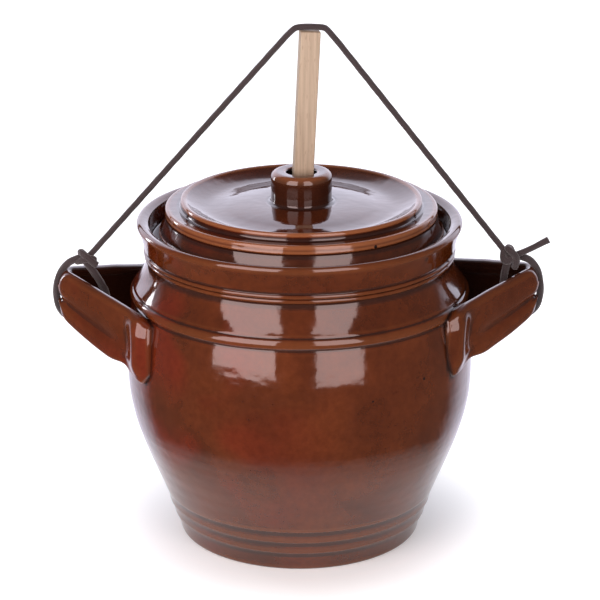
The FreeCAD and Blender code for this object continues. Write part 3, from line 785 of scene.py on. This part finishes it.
def strap_stops():
    """Places along the strap's middle line: distance from the nearer end, spot and outward way."""
    stops = []
    for k in range(ARM_STOPS + 1):
        travelled = -SINK + (ARM + SINK) * k / ARM_STOPS
        stops.append((travelled, ROOT + ALONG * travelled, OUTWARD))
    first = math.atan2(OUTWARD.y, OUTWARD.x)
    for k in range(1, NOSE_STOPS):
        angle = first - 2 * first * k / NOSE_STOPS
        way = Vector((math.cos(angle), math.sin(angle)))
        stops.append((ARM, BEND_CENTRE + way * NOSE_RADIUS, way))
    for travelled, spot, out in stops[ARM_STOPS::-1]:
        stops.append((travelled, Vector((spot.x, -spot.y)), Vector((out.x, -out.y))))
    return stops


def round_nose(co):
    """Wears the nose's top and bottom corners round."""
    x, y, z = co
    middle = edge_height(x, 0)
    half = edge_height(x, 1) - middle
    corner = TOP_CORNER if z > middle else LOW_CORNER
    past = min(corner, max(0.0, x - (HANDLE_REACH - corner)))
    drop = corner - math.sqrt(corner * corner - past * past)
    weight = ease(abs(z - middle) / half, 0.15, 1.0)
    return x, y, z - math.copysign(drop * weight, z - middle)


def strap_handle(side):
    """A bmesh of one handle, swept, worn round at its nose and set in place; the left one is mirrored."""
    bm = bmesh.new()
    before = None
    for stop in strap_stops():
        spots = [round_nose(co) for co in strap_ring(*stop)]
        ring = [bm.verts.new(Vector(co) * MM) for co in spots]
        edges = [bm.edges.new(pair) for pair in zip(ring, ring[1:] + ring[:1])]
        if before:
            bmesh.ops.bridge_loops(bm, edges=before + edges)
        else:
            bm.faces.new(ring)
        before = edges
    bm.faces.new(ring)
    bmesh.ops.rotate(bm, verts=bm.verts, cent=(ROOT.x * MM, 0, ROOT_Z * MM),
                     matrix=Matrix.Rotation(math.radians(DROOP[side]), 3, "Y"))
    bmesh.ops.translate(bm, verts=bm.verts, vec=(SHIFT[side] * MM, 0, LIFT[side] * MM))
    for vertex in bm.verts:
        slow = noise.noise(vertex.co / (21 * MM) + Vector((0, LIFT[side], 5)))
        vertex.co.z += 0.5 * slow * MM
        vertex.co.x += 0.3 * noise.noise(vertex.co / (17 * MM)) * MM
    if side == "left":
        bmesh.ops.scale(bm, verts=bm.verts, vec=(-1, 1, 1))
    bmesh.ops.recalc_face_normals(bm, faces=bm.faces)
    return bm


# %% Join the handles to the pot
def join(pot_bm, others, name):
    """One mesh with the pot's vertices first, and how many of them there are."""
    mesh = bpy.data.meshes.new(name)
    pot_bm.to_mesh(mesh)
    pot_count = len(mesh.vertices)
    everything = bmesh.new()
    everything.from_mesh(mesh)
    for other in others:
        part = bpy.data.meshes.new(name + "_part")
        other.to_mesh(part)
        everything.from_mesh(part)
        bpy.data.meshes.remove(part)
        other.free()
    everything.to_mesh(mesh)
    everything.free()
    pot_bm.free()
    return mesh, pot_count


handles = [strap_handle("left"), strap_handle("right")]
crock_mesh, pot_vertices = join(pot, handles, "crock")
mark_bend(crock_mesh)
# Within this distance of the join the glaze is darkened: partly pooled glaze, partly painted shade in the
# crease.
JOIN_POOL_AND_SHADE = 2.6        # millimetres from the join in which glaze gathers
JOIN_SEARCH = 6 * MM
HANDLES_FROM = 80 * MM         # the handles lie further out than this,
HANDLES_MIDDLE = 145 * MM      # and about this high,
HANDLES_HALF = 45 * MM         # up or down by this at most


def pooled_and_shaded_at_handles(mesh, first):
    """Glaze gathers where handle and wall meet, with painted shade in that crease too, and painted shade
    darkens the handles' faces that turn in towards the pot.
    """
    faces = [tuple(p.vertices) for p in mesh.polygons]
    places = [v.co.copy() for v in mesh.vertices]
    wall = BVHTree.FromPolygons(places, [f for f in faces if max(f) < first])
    strap = BVHTree.FromPolygons(places, [f for f in faces if min(f) >= first])
    darkening = []
    for number, co in enumerate(places):
        near_handle = abs(co.x) > HANDLES_FROM and abs(co.z - HANDLES_MIDDLE) < HANDLES_HALF
        value = 0.0
        if near_handle:
            other = strap if number < first else wall
            hit = other.find_nearest(co, JOIN_SEARCH)
            if hit[0] is not None:
                value = 1 - ease(hit[3] / MM, 0.4, JOIN_POOL_AND_SHADE)
        if number >= first:
            # Painted shade: handle faces that turn in towards the pot are darkened.
            inward = -mesh.vertices[number].normal.x * math.copysign(1, co.x)
            value = max(value, 0.85 * ease(inward, 0.25, 0.6))
        darkening.append(value)
    return darkening


mark_pool_and_painted_shade(crock_mesh, pooled_and_shaded_at_handles(crock_mesh, pot_vertices))
show("glazed_crock", crock_mesh, pot_glaze, ["crock"])

# %% [markdown]
# ## The lid
#
# The lid is thrown too: a sloping edge that drops inside the rim, two stepped lips where the glaze
# thins to gold, a shallow dish and a squat knob with a hole bored through it for the stick.

# %% Throw the lid
LID_SHIFT = 1.2
LID_BASE = 201.2
LID_RADIUS = 93.0
LOWER_LIP = 88.6
UPPER_LIP = 78.6
KNOB_RADIUS = 20.1
KNOB_TOP = LID_BASE + 45.4
HOLE_RADIUS = 9.7


def lid_section():
    """Round the lid's whole section: out along its base, up over the lips and dish, down the bore."""
    base = LID_BASE
    dish_edge = UPPER_LIP - 3.0
    section = Section(LID_RADIUS - 9.5, base, 1.4)
    section.line(LID_RADIUS - 1, base)
    section.bulge(LID_RADIUS, base + 1, 0.3, 4)
    section.line(LID_RADIUS, base + 5.8)
    section.bulge(LID_RADIUS - 0.6, base + 6.8, 0.25, 4)
    section.bulge(LOWER_LIP - 0.4, base + 16.9, -0.4)
    section.bulge(LOWER_LIP + 0.1, base + 18.4, 0.3, 4)
    section.line(LOWER_LIP, base + 20.8)
    section.bulge(LOWER_LIP - 2.2, base + 22.6, 0.8, 6)
    section.line(UPPER_LIP + 1.8, base + 22.4)
    section.bulge(UPPER_LIP - 0.1, base + 23.4, -0.5, 5)
    section.line(UPPER_LIP, base + 25.6)
    section.bulge(UPPER_LIP - 2.0, base + 27.6, 0.75, 6)
    section.bulge(dish_edge - 1.0, base + 26.8, 0.12, 4)
    section.curve([(dish_edge - 3.2, base + 25.4), (66, base + 22.7), (60, base + 21.6),
                   (52, base + 22.1), (46, base + 23.1), (40, base + 23.9), (32, base + 24.6),
                   (KNOB_RADIUS + 3.2, base + 24.9)])
    section.bulge(KNOB_RADIUS - 0.4, base + 26.6, -0.8, 6)
    section.line(KNOB_RADIUS - 0.3, base + 40.8)
    section.bulge(KNOB_RADIUS - 4.9, KNOB_TOP, 1.5, 9)
    section.line(HOLE_RADIUS + 1.6, base + 45.2)
    section.bulge(HOLE_RADIUS, base + 43.6, 0.5, 5)
    section.line(HOLE_RADIUS, base + 15.2)
    section.line(UPPER_LIP - 6.4, base + 16.4)
    section.curve([(LOWER_LIP - 8.9, base + 12.4), (LID_RADIUS - 9.5, base + 2)])
    return section


lid_bm = thrown("lid", lid_section(), 192, closed=True)
hand_made(lid_bm, 9.1, wobble=0.22, rings=0.05, above=0)
bmesh.ops.translate(lid_bm, verts=lid_bm.verts, vec=(LID_SHIFT * MM, 0, 0))
lid_mesh = bpy.data.meshes.new("lid")
lid_bm.to_mesh(lid_mesh)
lid_bm.free()
mark_bend(lid_mesh)


def knob_pool_and_shade(co):
    """Glaze gathers in a ring at the knob's foot; painted shade darkens the knob's side and its bore."""
    off = math.hypot(co.x - LID_SHIFT * MM, co.y) / MM
    height = co.z / MM - LID_BASE
    ring = 0.9 * bell(off, KNOB_RADIUS + 0.6, 1.6) * bell(height, 25.6, 1.6)
    # Painted shade: the knob's upright side is darkened.
    side = 0.6 * ease(off, 17, 19.4) * ease(height, 24.5, 27) * (1 - ease(height, 42, 45.4))
    if off >= KNOB_RADIUS + 0.9:
        side = 0
    # Painted shade: the bore is darkened.
    bore = 1.0 if off < HOLE_RADIUS + 0.6 and height < 44.6 else 0
    return min(1.0, max(ring, side, bore))


mark_pool_and_painted_shade(lid_mesh, [knob_pool_and_shade(vertex.co) for vertex in lid_mesh.vertices])
show("glazed_lid", lid_mesh, lid_glaze, ["lid"])

# %% [markdown]
# ## The press stick
#
# A planed stick of pale beech, not quite square, bare and dry. A cube is stretched to the stick's
# size, its edges are bevelled as sandpaper leaves them, and it is turned, leaned and stood in place.

# %% The wood
GRAIN = 1.6 * MM       # spacing of the growth lines, drawn at about their real size


def planed_beech():
    """Planed beech: pale, dry, with fine lines along the stick and short darker flecks."""
    material = bpy.data.materials.new("planed_beech")
    material.use_nodes = True
    tree = material.node_tree
    shader = tree.nodes["Principled BSDF"]
    shader.inputs["IOR"].default_value = 1.45
    place = add(tree, "ShaderNodeTexCoord").outputs["Object"]
    stretched = add(tree, "ShaderNodeMapping",
                    {"Vector": place, "Scale": (1 / GRAIN, 1 / GRAIN, 1 / (40 * GRAIN))})
    lines = add(tree, "ShaderNodeTexNoise",
                {"Vector": stretched.outputs[0], "Scale": 1.0, "Detail": 4.0, "Roughness": 0.6})
    fleck_space = add(tree, "ShaderNodeMapping",
                      {"Vector": place, "Scale": (2 / GRAIN, 2 / GRAIN, 1 / (4 * GRAIN))})
    flecks = add(tree, "ShaderNodeTexNoise",
                 {"Vector": fleck_space.outputs[0], "Scale": 1.0, "Detail": 1.0})
    pale = add(tree, "ShaderNodeMapRange",
               {"Value": lines.outputs["Fac"], "From Min": 0.35, "From Max": 0.65})
    colour = add(tree, "ShaderNodeMix",
                 {"Factor": pale.outputs[0], "A": linear("#8a7e6a"), "B": linear("#a09480")},
                 data_type="RGBA")
    mark = add(tree, "ShaderNodeMapRange",
               {"Value": flecks.outputs["Fac"], "From Min": 0.62, "From Max": 0.74, "To Max": 0.5})
    colour = add(tree, "ShaderNodeMix",
                 {"Factor": mark.outputs[0], "A": colour.outputs["Result"], "B": linear("#705f48")},
                 data_type="RGBA")
    ridge = add(tree, "ShaderNodeBump",
                {"Height": lines.outputs["Fac"], "Strength": 0.5, "Distance": 0.06 * MM})
    shader.inputs["Roughness"].default_value = 0.62
    tree.links.new(colour.outputs["Result"], shader.inputs["Base Color"])
    tree.links.new(ridge.outputs["Normal"], shader.inputs["Normal"])
    return material


beech = planed_beech()

# %% Cut and stand the stick
STICK_WIDTH = 12.8
STICK_DEPTH = 10.0
STICK_TOP = 339.6
STICK_LEAN = math.radians(2.66)
STICK_TURN = math.radians(9.0)
STICK_FOOT = FLOOR + 0.1
EDGE_SAND = 0.7
CUTS = 29              # rings of vertices along the stick, so that it can bow
CUT_SPACING = 11 * MM
BOW = 0.3 * MM
BOW_LENGTH = 120 * MM

stick_bm = bmesh.new()
bmesh.ops.create_cube(stick_bm, size=1.0)
stick_length = (STICK_TOP - STICK_FOOT) / math.cos(STICK_LEAN)
bmesh.ops.scale(stick_bm, verts=stick_bm.verts, vec=Vector((STICK_WIDTH, STICK_DEPTH, stick_length)) * MM)
bmesh.ops.bevel(stick_bm, geom=list(stick_bm.edges), offset=EDGE_SAND * MM, affect="EDGES", segments=3,
                profile=0.5, material=-1)
bmesh.ops.translate(stick_bm, verts=stick_bm.verts, vec=(0, 0, -stick_length / 2 * MM))
for level in range(1, CUTS + 1):
    everything = list(stick_bm.verts) + list(stick_bm.edges) + list(stick_bm.faces)
    bmesh.ops.bisect_plane(stick_bm, geom=everything, plane_co=(0, 0, -level * CUT_SPACING),
                           plane_no=UP)
for vertex in stick_bm.verts:
    vertex.co.x += BOW * noise.noise(Vector((1.5, 4.2, vertex.co.z / BOW_LENGTH)))
bmesh.ops.rotate(stick_bm, verts=stick_bm.verts, cent=(0, 0, 0), matrix=Matrix.Rotation(STICK_TURN, 3, "Z"))
bmesh.ops.rotate(stick_bm, verts=stick_bm.verts, cent=(0, 0, 0), matrix=Matrix.Rotation(STICK_LEAN, 3, "Y"))
stick_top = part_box("press_stick")[1][2]
stick_rise = max(vertex.co.z for vertex in stick_bm.verts)
bmesh.ops.translate(stick_bm, verts=stick_bm.verts,
                    vec=(STICK_TOP_X * MM, 0, stick_top - stick_rise))
stick_mesh = bpy.data.meshes.new("press_stick")
stick_bm.to_mesh(stick_mesh)
stick_bm.free()
show("beech_stick", stick_mesh, beech, ["press_stick"])

# %% [markdown]
# ## Floor and light
#
# The pot stands on a white table against a lit white background. Two tall soft lamps stand in
# front, left and right of the camera, and shine on the shoulder, and a narrow one stands behind on
# the left. The room on the camera's side is dim, so the belly shows its own colour.

# %% Floor
FLOOR_SIZE = 12.0
# Painted light: the table's glow grows from the first distance to the second, washing out cast shadows away
# from the foot.
PAINTED_LIGHT_START = 0.078     # the table's own glow grows from this distance from the middle of the pot
PAINTED_LIGHT_FULL = 0.18       # to this one
SHINE_FULL = 0.105     # the glaze mirrors the table out to this distance
SHINE_END = 0.20       # and past this it mirrors what lies beyond the table instead


def white_table():
    """White laminate with painted light: it glows more away from the pot, washing out cast shadows there. The
    glaze mirrors only its near part.
    """
    material = bpy.data.materials.new("white_laminate")
    material.use_nodes = True
    tree = material.node_tree
    shader = tree.nodes["Principled BSDF"]
    shader.inputs["Base Color"].default_value = (0.74, 0.83, 0.85, 1)
    shader.inputs["Roughness"].default_value = 0.7
    shader.inputs["Specular IOR Level"].default_value = 0.1
    shader.inputs["Emission Color"].default_value = (1, 1, 1, 1)
    place = add(tree, "ShaderNodeTexCoord").outputs["Object"]
    away = add(tree, "ShaderNodeVectorMath", {0: place}, operation="LENGTH").outputs["Value"]
    # Painted light: emission weak near the pot and strong farther out, so the lamps' cast shadows fade there.
    painted_light = add(tree, "ShaderNodeMapRange",
               {"Value": away, "From Min": PAINTED_LIGHT_START, "From Max": PAINTED_LIGHT_FULL,
                "To Min": 0.2, "To Max": 0.9},
               interpolation_type="SMOOTHSTEP")
    tree.links.new(painted_light.outputs[0], shader.inputs["Emission Strength"])
    far = add(tree, "ShaderNodeMapRange", {"Value": away, "From Min": SHINE_FULL, "From Max": SHINE_END})
    shine_ray = add(tree, "ShaderNodeLightPath").outputs["Is Glossy Ray"]
    gone = add(tree, "ShaderNodeMath", {0: far.outputs[0], 1: shine_ray}, operation="MULTIPLY")
    clear = add(tree, "ShaderNodeBsdfTransparent")
    mixed = add(tree, "ShaderNodeMixShader",
                {"Fac": gone.outputs[0], 1: shader.outputs[0], 2: clear.outputs[0]})
    tree.links.new(mixed.outputs[0], tree.nodes["Material Output"].inputs["Surface"])
    return material


floor_bm = bmesh.new()
bmesh.ops.create_grid(floor_bm, x_segments=1, y_segments=1, size=FLOOR_SIZE / 2)
floor_mesh = bpy.data.meshes.new("table_top")
floor_bm.to_mesh(floor_mesh)
floor_bm.free()
floor_mesh.materials.append(white_table())
floor = bpy.data.objects.new("table_top", floor_mesh)
scene.collection.objects.link(floor)


# %% Lamps
def soft_lamp(name, azimuth, distance, middle, width, height, strength, colour):
    """An upright lamp that faces the pot's axis; azimuth 0 is the camera's side, positive is right."""
    data = bpy.data.lights.new(name, "AREA")
    data.shape = "RECTANGLE"
    data.size = width
    data.size_y = height
    data.color = colour
    data.energy = strength * width * height * math.pi
    lamp = bpy.data.objects.new(name, data)
    scene.collection.objects.link(lamp)
    angle = math.radians(azimuth)
    lamp.location = (distance * math.sin(angle), -distance * math.cos(angle), middle)
    inwards = Vector((-lamp.location.x, -lamp.location.y, 0))
    lamp.rotation_euler = inwards.to_track_quat("-Z", "Y").to_euler()
    lamp.visible_camera = False


ROSE = (1.0, 0.78, 0.76)
COOL_WHITE = (0.96, 0.95, 1.0)
soft_lamp("lamp_left", -35, 1.25, 0.91, 0.94, 2.0, 4.6, ROSE)
soft_lamp("lamp_right", 25, 1.25, 0.91, 0.66, 2.0, 3.9, ROSE)
soft_lamp("lamp_back_left", -123, 1.0, 0.28, 0.10, 0.46, 11.0, COOL_WHITE)

# %% Surroundings
# Seen directly, the room is white. In the glaze it is bright behind the pot, from the table up to
# about forty degrees, and dim elsewhere.
world = bpy.data.worlds.new("studio")
world.use_nodes = True
scene.world = world
tree = world.node_tree
tree.nodes.clear()
way = add(tree, "ShaderNodeTexCoord").outputs["Generated"]
axes = add(tree, "ShaderNodeSeparateXYZ", {"Vector": way})
behind = add(tree, "ShaderNodeMapRange", {"Value": axes.outputs["Y"], "From Min": 0.40, "From Max": 0.74},
             interpolation_type="SMOOTHSTEP")
below = add(tree, "ShaderNodeMapRange", {"Value": axes.outputs["Z"], "From Min": 0.74, "From Max": 0.62},
            interpolation_type="SMOOTHSTEP")
above = add(tree, "ShaderNodeMapRange",
            {"Value": axes.outputs["Z"], "From Min": -0.10, "From Max": 0.10, "To Min": 0.5},
            interpolation_type="SMOOTHSTEP")
span = add(tree, "ShaderNodeMath", {0: above.outputs[0], 1: below.outputs[0]}, operation="MULTIPLY")
lit = add(tree, "ShaderNodeMath", {0: behind.outputs[0], 1: span.outputs[0]}, operation="MULTIPLY")
dim = add(tree, "ShaderNodeMix",
          {"Factor": behind.outputs[0], "A": (0.14, 0.12, 0.12, 1), "B": (0.44, 0.40, 0.46, 1)},
          data_type="RGBA")
seen = add(tree, "ShaderNodeMix",
           {"Factor": lit.outputs[0], "A": dim.outputs["Result"], "B": (2.0, 1.98, 2.35, 1)},
           data_type="RGBA")
camera_ray = add(tree, "ShaderNodeLightPath").outputs["Is Camera Ray"]
shown = add(tree, "ShaderNodeMix", {"Factor": camera_ray, "A": seen.outputs["Result"], "B": (1, 1, 1, 1)},
            data_type="RGBA")
background = add(tree, "ShaderNodeBackground", {"Color": shown.outputs["Result"], "Strength": 1.0})
add(tree, "ShaderNodeOutputWorld", {"Surface": background.outputs[0]})
